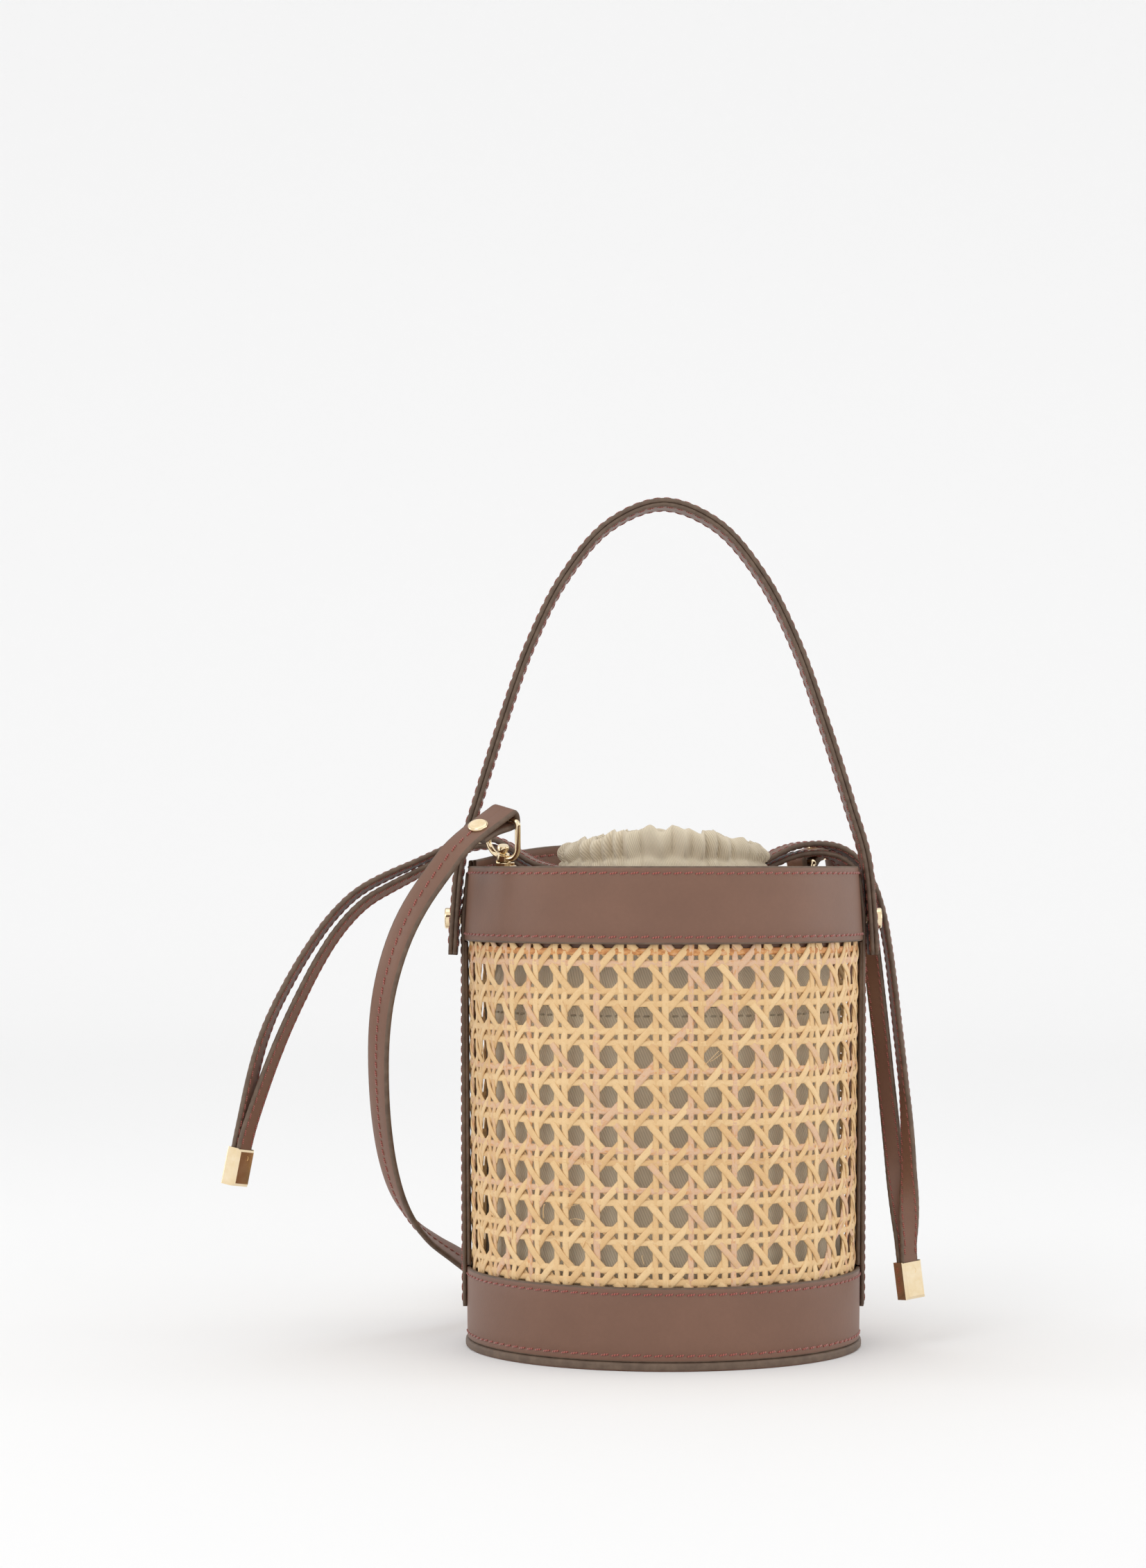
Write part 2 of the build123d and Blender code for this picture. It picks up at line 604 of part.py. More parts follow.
def pouch_body():
    """Closed bottom and straight wall, up to the seam."""
    low = BASE_T + BOARD_T
    profile = [(0, low), (POUCH_R - 2, low), (POUCH_R, low + 3), (POUCH_R, POUCH_SEAM_Z),
               (POUCH_R - CLOTH_T, POUCH_SEAM_Z), (POUCH_R - CLOTH_T, low + 3.6),
               (POUCH_R - 2.6, low + CLOTH_T), (0, low + CLOTH_T)]
    return turned(profile)


def pouch_shoulder():
    """The part that is drawn in from the seam to the neck."""
    profile = [(POUCH_R, POUCH_SEAM_Z), (NECK_R + 1, NECK_Z), (NECK_R, CHANNEL_LOW_Z),
               (NECK_R - 2.2, CHANNEL_LOW_Z), (NECK_R - 1.2, NECK_Z),
               (POUCH_R - 1.6, POUCH_SEAM_Z)]
    return turned(profile)


def pouch_channel():
    """The sewn tunnel that the laces run in, bunched up."""
    profile = [(NECK_R - 5, CHANNEL_LOW_Z), (NECK_R, CHANNEL_LOW_Z),
               (NECK_R, CHANNEL_TOP_Z), (NECK_R - 5, CHANNEL_TOP_Z)]
    return turned(profile)


def pouch_ruffle():
    """The gathered cloth above the tunnel."""
    profile = [(NECK_R - 5, CHANNEL_TOP_Z), (NECK_R, CHANNEL_TOP_Z),
               (NECK_R + 1.5, RUFFLE_TOP_Z), (NECK_R - 5, RUFFLE_TOP_Z)]
    return turned(profile)


def both_sides(name, make):
    """A right-hand piece and the same piece turned half round for the left."""
    right = make()
    return {f"{name}_right": right, f"{name}_left": right.rotate(Axis.Z, 180.0)}


def build():
    nodes = {"base_panel": base_panel(), "base_board": base_board()}
    for side in ("front", "back"):
        nodes[f"bottom_band_{side}"] = bottom_band(side)
        nodes[f"cane_{side}"] = cane_panel(side)
        nodes[f"top_band_{side}"] = top_band(side)
        nodes[f"top_facing_{side}"] = top_facing(side)
    nodes |= both_sides("side_strip", side_strip)
    nodes |= both_sides("seam_facing", seam_facing)
    nodes |= both_sides("handle_stud", handle_stud)
    nodes |= both_sides("handle_screw", handle_screw)
    nodes["handle_outer"] = handle_layer(0, HANDLE_LAYER_T)
    nodes["handle_inner"] = handle_layer(HANDLE_LAYER_T, 2 * HANDLE_LAYER_T)
    ends = {"left": (LEFT_STRAP, LEFT_STRAP_RUN), "right": (RIGHT_STRAP, RIGHT_STRAP_RUN)}
    for side, (end, run) in ends.items():
        nodes[f"ring_tab_{side}"] = ring_tab(end)
        nodes[f"d_ring_{side}"] = d_ring(end)
        nodes[f"hook_eye_{side}"] = hook_eye(end)
        nodes[f"hook_body_{side}"] = hook_body(end)
        nodes[f"hook_gate_{side}"] = hook_gate(end)
        nodes[f"gate_pin_{side}"] = gate_pin(end)
        nodes[f"strap_fold_{side}"] = strap_fold(end, run)
        nodes[f"strap_rivet_{side}"] = strap_rivet(end, run)
        nodes[f"end_cap_{side}"] = end_cap(side)
        nodes[f"cap_screw_{side}"] = cap_screw(side)
    nodes["shoulder_strap"] = shoulder_strap()
    for name in LACE_ROUTES:
        nodes[name] = lace(name)
    nodes["pouch_body"] = pouch_body()
    nodes["pouch_shoulder"] = pouch_shoulder()
    nodes["pouch_channel"] = pouch_channel()
    nodes["pouch_ruffle"] = pouch_ruffle()
    return nodes


os.makedirs("parts", exist_ok=True)
for node, shape in build().items():
    export_step(shape, f"parts/{node}.step")
for end, run in ((LEFT_STRAP, LEFT_STRAP_RUN), (RIGHT_STRAP, RIGHT_STRAP_RUN)):
    hook = hook_plane(end)
    print("hook origin", hook.origin, "axis", hook.z_dir, "gate axis", hook.y_dir)
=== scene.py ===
import math

import bpy
import numpy as np
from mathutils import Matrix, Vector


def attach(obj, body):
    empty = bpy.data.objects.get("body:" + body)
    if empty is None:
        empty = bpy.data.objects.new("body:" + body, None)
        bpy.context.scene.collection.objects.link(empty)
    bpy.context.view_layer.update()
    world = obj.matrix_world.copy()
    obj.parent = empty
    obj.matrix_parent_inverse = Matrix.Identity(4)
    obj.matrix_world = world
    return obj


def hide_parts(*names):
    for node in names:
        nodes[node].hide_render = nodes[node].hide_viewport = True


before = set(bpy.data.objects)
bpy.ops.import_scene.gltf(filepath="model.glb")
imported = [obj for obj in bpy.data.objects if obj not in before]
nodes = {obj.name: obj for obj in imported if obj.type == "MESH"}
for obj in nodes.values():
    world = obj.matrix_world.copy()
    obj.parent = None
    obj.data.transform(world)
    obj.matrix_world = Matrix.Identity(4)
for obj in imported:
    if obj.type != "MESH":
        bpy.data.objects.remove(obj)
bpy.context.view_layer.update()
MM = 0.001
rng = np.random.default_rng(7)

# ---------------------------------------------------------------- camera, light, floor

camera = bpy.data.objects.new("camera", bpy.data.cameras.new("camera"))
bpy.context.collection.objects.link(camera)
camera.location = (-0.0356, -1.370, 0.1883)
camera.rotation_euler = (math.radians(90), 0, 0)
camera.data.sensor_fit = "VERTICAL"
camera.data.sensor_height = 24
camera.data.lens = 24 * 5000 / 2261
camera.data.shift_y = 119.5 / 2261
camera.data.clip_start = 0.02
bpy.context.scene.camera = camera
bpy.context.scene.view_settings.view_transform = "Standard"


def area_light(name, place, size, power, target=(0, 0, 0.12)):
    data = bpy.data.lights.new(name, "AREA")
    data.size = size
    data.energy = power
    lamp = bpy.data.objects.new(name, data)
    bpy.context.collection.objects.link(lamp)
    lamp.location = place
    lamp.rotation_euler = (Vector(target) - Vector(place)).to_track_quat("-Z", "Y").to_euler()


area_light("key", (-0.9, -1.5, 1.5), 0.9, 5.5)
area_light("fill", (1.5, -1.2, 0.9), 1.2, 2.0)
area_light("top", (0.0, 0.2, 1.9), 1.2, 2.5)
area_light("left_side", (-1.1, 0.15, 0.35), 0.35, 1.1)
area_light("right_side", (1.1, 0.15, 0.35), 0.35, 1.1)
world = bpy.data.worlds.new("studio")
bpy.context.scene.world = world
world.use_nodes = True
world.node_tree.nodes["Background"].inputs["Color"].default_value = (1, 1, 1, 1)
world.node_tree.nodes["Background"].inputs["Strength"].default_value = 1.0

# ---------------------------------------------------------------- materials


class Shader:
    """A material with a Principled shader and short ways to add nodes to it."""

    def __init__(self, name, **values):
        self.material = bpy.data.materials.new(name)
        self.material.use_nodes = True
        self.tree = self.material.node_tree
        self.bsdf = self.tree.nodes["Principled BSDF"]
        for key, value in values.items():
            self.bsdf.inputs[key.replace("_", " ")].default_value = value

    def add(self, kind, **values):
        node = self.tree.nodes.new(kind)
        for key, value in values.items():
            if key.startswith("p_"):
                setattr(node, key[2:], value)
            else:
                node.inputs[key.replace("_", " ")].default_value = value
        return node

    def link(self, out, into):
        self.tree.links.new(out, into)
        return self

    def place(self, scale=(1, 1, 1), source="Object"):
        coord = self.add("ShaderNodeTexCoord")
        mapping = self.add("ShaderNodeMapping", Scale=scale)
        self.link(coord.outputs[source], mapping.inputs["Vector"])
        return mapping.outputs["Vector"]

    def noise(self, vector, scale, detail=3.0, rough=0.55):
        node = self.add("ShaderNodeTexNoise", Scale=scale, Detail=detail, Roughness=rough)
        self.link(vector, node.inputs["Vector"])
        return node.outputs["Fac"]

    def ramp(self, fac, stops):
        node = self.add("ShaderNodeValToRGB")
        ramp = node.color_ramp
        while len(ramp.elements) < len(stops):
            ramp.elements.new(0.5)
        for element, (spot, colour) in zip(ramp.elements, stops):
            element.position = spot
            element.color = (*colour, 1)
        self.link(fac, node.inputs["Fac"])
        return node.outputs["Color"]

    def mix(self, fac, a, b, kind="MIX"):
        node = self.add("ShaderNodeMix", p_data_type="RGBA", p_blend_type=kind)
        for source, socket in ((fac, node.inputs[0]), (a, node.inputs[6]), (b, node.inputs[7])):
            if hasattr(source, "links"):
                self.link(source, socket)
            else:
                socket.default_value = source
        return node.outputs[2]

    def math(self, kind, a, b=0.0, c=0.0):
        node = self.add("ShaderNodeMath", p_operation=kind)
        for i, source in enumerate((a, b, c)):
            if hasattr(source, "links"):
                self.link(source, node.inputs[i])
            else:
                node.inputs[i].default_value = source
        return node.outputs[0]

    def colour(self, out):
        return self.link(out, self.bsdf.inputs["Base Color"])

    def roughness(self, out, low, high):
        node = self.add("ShaderNodeMapRange")
        node.inputs["To Min"].default_value = low
        node.inputs["To Max"].default_value = high
        self.link(out, node.inputs["Value"])
        return self.link(node.outputs["Result"], self.bsdf.inputs["Roughness"])

    def bump(self, height, strength, distance):
        node = self.add("ShaderNodeBump", Strength=strength, Distance=distance)
        self.link(height, node.inputs["Height"])
        previous = self.bsdf.inputs["Normal"].links
        if previous:
            self.link(previous[0].from_socket, node.inputs["Normal"])
        return self.link(node.outputs["Normal"], self.bsdf.inputs["Normal"])


def leather_material(name, light, dark, rough=(0.42, 0.58)):
    s = Shader(name, Specular_IOR_Level=0.45)
    place = s.place()
    cloudy = s.noise(place, 38.0, 4.0)
    fine = s.noise(place, 650.0, 2.0)
    pores = s.add("ShaderNodeTexVoronoi", Scale=1500.0)
    s.link(place, pores.inputs["Vector"])
    tone = s.ramp(cloudy, [(0.30, dark), (0.70, light)])
    s.colour(s.mix(s.math("MULTIPLY", fine, 0.22), tone, (*[v * 0.62 for v in dark], 1)))
    s.roughness(cloudy, *rough)
    s.bump(fine, 0.10, 0.00025)
    s.bump(pores.outputs["Distance"], 0.16, 0.00012)
    return s.material


def edge_material(name, light, dark):
    s = Shader(name, Specular_IOR_Level=0.35)
    place = s.place()
    rub = s.noise(place, 260.0, 3.0)
    grit = s.noise(place, 1900.0, 2.0)
    s.colour(s.ramp(rub, [(0.35, dark), (0.68, light)]))
    s.roughness(rub, 0.5, 0.7)
    s.bump(grit, 0.25, 0.0002)
    return s.material


def thread_material():
    s = Shader("thread", Specular_IOR_Level=0.3, Sheen_Weight=0.3)
    uv = s.add("ShaderNodeUVMap")
    split = s.add("ShaderNodeSeparateXYZ")
    s.link(uv.outputs["UV"], split.inputs["Vector"])
    turn = s.math("MULTIPLY_ADD", split.outputs["Y"], 22.0, s.math("MULTIPLY", split.outputs["X"], 6.283))
    ply_twist_and_shade = s.math("MULTIPLY_ADD", s.math("SINE", turn), 0.5, 0.5)
    # the red-brown is the thread's own colour; the darker bands in the grooves between the twisted plies are
    # painted shade
    s.colour(s.ramp(ply_twist_and_shade, [(0.1, (0.16, 0.036, 0.028)), (0.8, (0.40, 0.115, 0.082))]))
    s.roughness(ply_twist_and_shade, 0.75, 0.5)
    s.bump(ply_twist_and_shade, 0.6, 0.0002)
    return s.material


def cane_material():
    s = Shader("cane", Specular_IOR_Level=0.4)
    tone = s.add("ShaderNodeAttribute", p_attribute_name="tone").outputs["Fac"]
    uv = s.add("ShaderNodeUVMap").outputs["UV"]
    long_map = s.add("ShaderNodeMapping", Scale=(9.0, 0.35, 1.0))
    s.link(uv, long_map.inputs["Vector"])
    fibre = s.noise(long_map.outputs["Vector"], 3.0, 4.0, 0.7)
    patch_map = s.add("ShaderNodeMapping", Scale=(0.6, 0.25, 1.0))
    s.link(uv, patch_map.inputs["Vector"])
    patch = s.noise(patch_map.outputs["Vector"], 1.3, 3.0)
    shifted = s.math("MULTIPLY_ADD", s.math("SUBTRACT", patch, 0.5), 0.55, tone)
    base = s.ramp(shifted, [(0.0, (0.86, 0.62, 0.34)), (0.35, (0.80, 0.545, 0.275)),
                            (0.60, (0.74, 0.475, 0.225)), (0.78, (0.74, 0.49, 0.33)),
                            (0.92, (0.70, 0.34, 0.115)), (1.0, (0.52, 0.21, 0.07))])
    streak = s.ramp(fibre, [(0.33, (0.72, 0.62, 0.52)), (0.52, (1, 1, 1))])
    s.colour(s.mix(0.75, base, streak, "MULTIPLY"))
    s.roughness(fibre, 0.62, 0.38)
    s.bump(fibre, 0.35, 0.00025)
    return s.material


def twill_material(name, light, dark):
    s = Shader(name, Specular_IOR_Level=0.2, Sheen_Weight=0.15, Roughness=0.85)
    uv = s.add("ShaderNodeUVMap").outputs["UV"]
    split = s.add("ShaderNodeSeparateXYZ")
    s.link(uv, split.inputs["Vector"])
    slant = s.math("MULTIPLY_ADD", split.outputs["X"], 1.0, s.math("MULTIPLY", split.outputs["Y"], 0.42))
    rib = s.math("MULTIPLY_ADD", s.math("SINE", s.math("MULTIPLY", slant, 6.283 / 0.00105)), 0.5, 0.5)
    across = s.math("MULTIPLY", split.outputs["Y"], 6.283 / 0.0005)
    weft = s.math("MULTIPLY_ADD", s.math("SINE", across), 0.5, 0.5)
    cloudy = s.noise(s.place(), 45.0, 3.0)
    tone = s.ramp(cloudy, [(0.3, dark), (0.7, light)])
    shade = s.ramp(rib, [(0.0, (0.74, 0.72, 0.68)), (0.55, (1, 1, 1))])
    s.colour(s.mix(0.8, tone, shade, "MULTIPLY"))
    s.bump(weft, 0.10, 0.00015)
    s.bump(rib, 0.45, 0.00035)
    return s.material


def gold_material():
    s = Shader("pale_gold", Metallic=1.0, Base_Color=(0.90, 0.735, 0.49, 1))
    place = s.place()
    smear = s.noise(place, 220.0, 3.0)
    s.colour(s.ramp(smear, [(0.3, (0.86, 0.68, 0.42)), (0.7, (0.93, 0.78, 0.55))]))
    s.roughness(smear, 0.08, 0.17)
    s.bump(s.noise(place, 900.0, 2.0), 0.03, 0.0001)
    return s.material


LEATHER = leather_material("leather", (0.205, 0.103, 0.066), (0.176, 0.087, 0.055))
EDGE = edge_material("painted_edge", (0.165, 0.112, 0.078), (0.115, 0.076, 0.053))
THREAD = thread_material()
CANE = cane_material()
TWILL = twill_material("twill", (0.80, 0.70, 0.535), (0.70, 0.61, 0.46))
BOARD = twill_material("board_cloth", (0.42, 0.33, 0.24), (0.36, 0.28, 0.20))
GOLD = gold_material()
LEATHER_SET = [LEATHER, EDGE, THREAD]

floor_shader = Shader("pale_floor", Roughness=0.9, Specular_IOR_Level=0.1)
floor_far = floor_shader.add("ShaderNodeSeparateXYZ")
floor_shader.link(floor_shader.place(), floor_far.inputs["Vector"])
floor_shader.colour(floor_shader.ramp(floor_shader.math("MULTIPLY", floor_far.outputs["Y"], 0.3),
                                      [(0.1, (0.84, 0.84, 0.84)), (0.8, (0.925, 0.925, 0.925))]))

# ---------------------------------------------------------------- mesh helpers


def strip_faces(rows, columns, close=True):
    """Quads of a grid of rows by columns; close joins the last column to the first."""
    r = np.arange(rows - 1)[:, None]
    c = np.arange(columns if close else columns - 1)[None, :]
    d = (c + 1) % columns
    a, b = r * columns + c, r * columns + d
    return np.stack([a, b, b + columns, a + columns], -1).reshape(-1, 4)


def cap_faces(start, count, flip):
    """Closes a flat ring of points with quads from one side to the other."""
    faces = []
    for i in range(count // 2 - 1):
        quad = [start + i, start + i + 1, start + count - 2 - i, start + count - 1 - i]
        faces.append(quad[::-1] if flip else quad)
    return np.array(faces)


def make_piece(name, parts, materials, body="bag", attribute=None):
    """One mesh from parts of (points, quads, material numbers, UVs)."""
    points, quads, slots, uvs, base = [], [], [], [], 0
    for p, q, m, uv in parts:
        points.append(p)
        quads.append(q + base)
        slots.append(np.broadcast_to(m, (len(q),)))
        uvs.append(uv if uv is not None else np.zeros((len(p), 2)))
        base += len(p)
    points, quads = np.concatenate(points), np.concatenate(quads)
    slots, uvs = np.concatenate(slots), np.concatenate(uvs)
    mesh = bpy.data.meshes.new(name)
    mesh.vertices.add(len(points))
    mesh.vertices.foreach_set("co", points.astype(np.float32).ravel())
    mesh.loops.add(quads.size)
    mesh.loops.foreach_set("vertex_index", quads.astype(np.int32).ravel())
    mesh.polygons.add(len(quads))
    mesh.polygons.foreach_set("loop_start", np.arange(0, quads.size, 4, dtype=np.int32))
    for material in materials:
        mesh.materials.append(material)
    mesh.update(calc_edges=True)
    mesh.polygons.foreach_set("material_index", slots.astype(np.int32))
    mesh.polygons.foreach_set("use_smooth", np.ones(len(quads), dtype=bool))
    layer = mesh.uv_layers.new(name="UVMap")
    layer.data.foreach_set("uv", uvs[quads.ravel()].astype(np.float32).ravel())
    if attribute is not None:
        tone = mesh.attributes.new("tone", "FLOAT", "POINT")
        tone.data.foreach_set("value", attribute.astype(np.float32))
    mesh.validate()
    piece = bpy.data.objects.new(name, mesh)
    bpy.context.collection.objects.link(piece)
    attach(piece, body)
    return piece


def unit(v):
    return v / np.maximum(np.linalg.norm(v, axis=-1, keepdims=True), 1e-12)


def along(points):
    """Distance along a line of points."""
    steps = np.linalg.norm(np.diff(points, axis=0), axis=1)
    return np.concatenate([[0], np.cumsum(steps)])


def at(values, s, spots):
    return np.stack([np.interp(spots, s, values[:, i]) for i in range(values.shape[1])], -1)


STITCH_RINGS = ((-0.5, 0.3, -0.55), (-0.40, 0.85, -0.1), (0.0, 1.0, 0.12), (0.40, 0.85, -0.1),
                (0.5, 0.3, -0.55))


def stitches(centres, run, across, up, length, radius=0.36, slant=0.16):
    """Thread stitches as small crowned capsules, one at each centre."""
    run = unit(run + across * slant)
    across = unit(np.cross(up, run))
    turn = np.linspace(0, 2 * np.pi, 7)[:-1]
    cloud, uv = [], []
    for x, r, lift in STITCH_RINGS:
        for a in turn:
            cloud.append((x * length, r * radius * math.cos(a), (r * math.sin(a) + lift) * radius))
            uv.append((a / (2 * np.pi), x))
    cloud = np.array(cloud)
    points = (centres[:, None] + run[:, None] * cloud[None, :, :1] + across[:, None] * cloud[None, :, 1:2]
              + up[:, None] * cloud[None, :, 2:3]).reshape(-1, 3)
    one = strip_faces(len(STITCH_RINGS), 6)
    one = np.concatenate([one, cap_faces(0, 6, True), cap_faces(24, 6, False)])
    quads = (one[None] + (np.arange(len(centres)) * len(cloud))[:, None, None]).reshape(-1, 4)
    return points * MM, quads, 2, np.tile(np.array(uv), (len(centres), 1))


def frames(points, across):
    run = unit(np.gradient(points, axis=0))
    side = unit(across - run * np.sum(across * run, -1, keepdims=True))
    return run, side, np.cross(run, side)


def band(points, across, width, thick, rows=(), faces=(1, -1), pitch=4.0, stitch=3.3, scallop=0.10,
         bend=0.0, round_ends=0.0, trim=(3.0, 3.0), groove=0.10, thread=0.42):
    """A leather band: crowned faces, painted round edges, sewn grooves and thread stitches.

    rows holds each seam's distance from the band's middle."""
    s = along(points)
    run, side, up = frames(points, across)
    half = np.broadcast_to(np.asarray(width, float) / 2, (len(points),)).copy()
    if round_ends:
        near = np.minimum(s, s[-1] - s)
        gap = np.clip(round_ends - near, 0, round_ends)
        half -= round_ends - np.sqrt(np.maximum(round_ends ** 2 - gap ** 2, 0.05))
    k = thick / 2
    hw = half.max()
    inset = {0.0, hw - 0.42 * thick, hw * 0.5}
    for row in rows:
        inset |= {abs(row), abs(row) + 0.45, max(abs(row) - 0.45, 0)}
    inset = sorted(v for v in inset if v <= hw - 0.4 * thick)
    top = [v for v in inset[::-1]] + [-v for v in inset if v > 0]
    section, kinds = [], []
    for sign in (1, -1):
        for v in top:
            u = v * sign
            dip = groove if any(abs(abs(u) - abs(r)) < 0.05 for r in rows) else 0.0
            crown = 0.10 * k * (abs(u) / hw) ** 4
            section.append((u, sign * (k - dip - crown)))
            kinds.append(0)
        for e, h in ((0.16, 0.72), (0.03, 0.36), (0.0, 0.0), (0.03, -0.36), (0.16, -0.72)):
            section.append((-sign * (hw - e * thick), sign * k * h))
            kinds.append(1)
    section = np.array(section)
    count = len(section)
    u = section[None, :, 0] * (half / hw)[:, None]
    v = np.broadcast_to(section[None, :, 1], u.shape).copy()
    is_edge = np.array(kinds) == 1
    wave = scallop * np.cos(2 * np.pi * s / pitch)[:, None] * is_edge[None]
    u = u - np.sign(u) * (wave + scallop * is_edge[None])
    if bend:
        v = v - u ** 2 / (2 * bend)
    grid = points[:, None] + side[:, None] * u[..., None] + up[:, None] * v[..., None]
    quads = strip_faces(len(points), count)
    columns = np.arange(count)
    edge_face = is_edge | is_edge[(columns + 1) % count]
    slots = np.tile(edge_face.astype(int), len(points) - 1)
    uv = np.stack(np.broadcast_arrays(u * MM, (s * MM)[:, None]), -1).reshape(-1, 2)
    ends = [cap_faces(0, count, False), cap_faces((len(points) - 1) * count, count, True)]
    quads = np.concatenate([quads, *ends])
    slots = np.concatenate([slots, np.ones(len(ends[0]) + len(ends[1]), int)])
    parts = [(grid.reshape(-1, 3) * MM, quads[:, ::-1], slots, uv)]
    spots = np.arange(trim[0], s[-1] - trim[1], pitch)
    if len(spots):
        c, r, a, n = (unit_at(x, s, spots, i) for i, x in enumerate((points, run, side, up)))
        h = np.interp(spots, s, half / hw)[:, None]
        for row in rows:
            for face in faces:
                lift = k - groove - (row ** 2 / (2 * bend) * face if bend else 0)
                centre = c + a * row * h + n * face * (lift + 0.10)
                jitter = rng.normal(0, 0.05, (len(spots), 1))
                parts.append(stitches(centre + a * jitter, r, a * face, n * face, stitch, thread))
    return parts


def unit_at(values, s, spots, index):
    found = at(values, s, spots)
    return found if index == 0 else unit(found)


def smooth_through(points, count):
    """Centripetal Catmull-Rom line through given points."""
    p = np.array(points, float)
    p = np.vstack([2 * p[0] - p[1], p, 2 * p[-1] - p[-2]])
    t = np.concatenate([[0], np.cumsum(np.linalg.norm(np.diff(p, axis=0), axis=1) ** 0.5)])
    out = []
    for value in np.linspace(t[1], t[-2], count):
        i = min(max(np.searchsorted(t, value, side="right") - 1, 1), len(p) - 3)
        t0, t1, t2, t3 = t[i - 1:i + 3]
        a1 = (t1 - value) / (t1 - t0) * p[i - 1] + (value - t0) / (t1 - t0) * p[i]
        a2 = (t2 - value) / (t2 - t1) * p[i] + (value - t1) / (t2 - t1) * p[i + 1]
        a3 = (t3 - value) / (t3 - t2) * p[i + 1] + (value - t2) / (t3 - t2) * p[i + 2]
        b1 = (t2 - value) / (t2 - t0) * a1 + (value - t0) / (t2 - t0) * a2
        b2 = (t3 - value) / (t3 - t1) * a2 + (value - t1) / (t3 - t1) * a3
        out.append((t2 - value) / (t2 - t1) * b1 + (value - t1) / (t2 - t1) * b2)
    return np.array(out)


def nurbs_line(name, route, resolution=10):
    """The smooth line that the route's points give as a NURBS spline's control points."""
    data = bpy.data.curves.new(name, "CURVE")
    data.dimensions = "3D"
    spline = data.splines.new("NURBS")
    spline.points.add(len(route) - 1)
    for point, spot in zip(spline.points, route):
        point.co = (*[v * MM for v in spot], 1)
    spline.order_u = 3
    spline.use_endpoint_u = True
    spline.resolution_u = resolution
    carrier = bpy.data.objects.new(name, data)
    bpy.context.collection.objects.link(carrier)
    mesh = bpy.data.meshes.new_from_object(carrier)
    found = np.array([v.co[:] for v in mesh.vertices]) / MM
    bpy.data.objects.remove(carrier)
    keep = np.concatenate([[True], np.linalg.norm(np.diff(found, axis=0), axis=1) > 1e-4])
    return found[keep]


def turning(across, count, route):
    """Width directions for count stations, from the directions given by place in the route."""
    keys = sorted(across)
    spots = np.linspace(0, len(route) - 1, count)
    values = np.array([across[k] for k in keys], float)
    return unit(np.stack([np.interp(spots, keys, values[:, i]) for i in range(3)], -1))


# ---------------------------------------------------------------- cords: strap and laces


def fold_points(origin, run, face, leg):
    """The strap's end round the eye's bar, from the inner leg's end to the outer face."""
    origin, run, face = np.array(origin), np.array(run), np.array(face)
    r, close = 2.8, 0.35
    flat = [(leg, close), (leg - 6.5, close), (2.0, -2.4), (-0.8, -r), (-r, -r), (-r, r), (0.9, r)]
    return [tuple(origin + run * x + face * z) for x, z in flat]


LEFT_BAR = (-62.767, -26.949, 207.27)
LEFT_RUN = (-0.635, -0.5959, -0.4917)
LEFT_SIDE = (0.7558, -0.6109, -0.2357)
LEFT_FACE = (-0.1599, -0.5213, 0.8383)
RIGHT_BAR = (57.555, 39.695, 190.412)
RIGHT_RUN = (0.7902, 0.5452, 0.2801)
RIGHT_SIDE = (0.5679, -0.8231, -0.0003)
RIGHT_FACE = (-0.2304, -0.1593, 0.96)
STRAP_ROUTE = [
    (-78.8, -43.1, 197.5), (-86.2, -43.0, 187.6), (-95.9, -42.4, 174.0), (-103.0, -39.0, 159.5),
    (-108.3, -33.0, 142.0), (-111.0, -24.0, 124.5), (-111.8, -13.0, 106.5), (-111.4, -1.5, 88.0),
    (-109.3, 9.5, 69.5), (-105.0, 20.5, 53.5), (-97.5, 32.0, 41.0), (-88.5, 44.0, 33.0),
    (-80.0, 56.0, 26.0), (-72.0, 70.0, 18.0), (-65.5, 87.0, 11.0), (-62.0, 108.0, 7.4),
    (-64.0, 137.0, 6.5), (-63.5, 167.0, 6.4), (-53.0, 195.0, 6.5), (-30.0, 214.0, 6.4),
    (0.0, 221.0, 6.5), (31.0, 215.0, 6.4), (53.0, 196.0, 6.5), (63.0, 168.0, 6.4),
    (63.0, 138.0, 6.8), (59.0, 112.0, 8.5), (56.5, 91.0, 15.0), (58.5, 76.0, 30.0),
    (62.5, 67.0, 52.0), (66.0, 61.0, 80.0), (69.0, 56.0, 110.0), (70.5, 53.0, 138.0),
    (71.5, 51.0, 157.5), (72.6, 50.2, 173.0), (72.8, 50.0, 184.8), (70.5, 48.6, 197.9),
]
left_fold = fold_points(LEFT_BAR, LEFT_RUN, LEFT_FACE, 17.0)
right_fold = fold_points(RIGHT_BAR, RIGHT_RUN, RIGHT_FACE, 11.6)
strap_route = left_fold + STRAP_ROUTE + right_fold[::-1]
first = len(left_fold)
last = len(strap_route) - 1
strap_across = {
    0: LEFT_SIDE, first: LEFT_SIDE, first + 4: (0.66, -0.66, -0.36), first + 8: (0.62, -0.62, -0.48),
    first + 11: (0.50, -0.42, -0.76), first + 14: (0.05, 0.0, -1.0), first + 24: (0.0, 0.0, -1.0),
    first + 29: (0.60, -0.79, -0.15), first + 35: RIGHT_SIDE, last: RIGHT_SIDE,
}
strap_line = nurbs_line("strap_line", strap_route)
strap = make_piece("strap_leather", band(
    strap_line, turning(strap_across, len(strap_line), strap_route), 12.0, 2.4, rows=(0.0,), pitch=4.2,
    stitch=3.4, scallop=0.03, trim=(46.0, 40.0), groove=0.12), LEATHER_SET)
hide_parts("shoulder_strap", "strap_fold_left", "strap_fold_right")

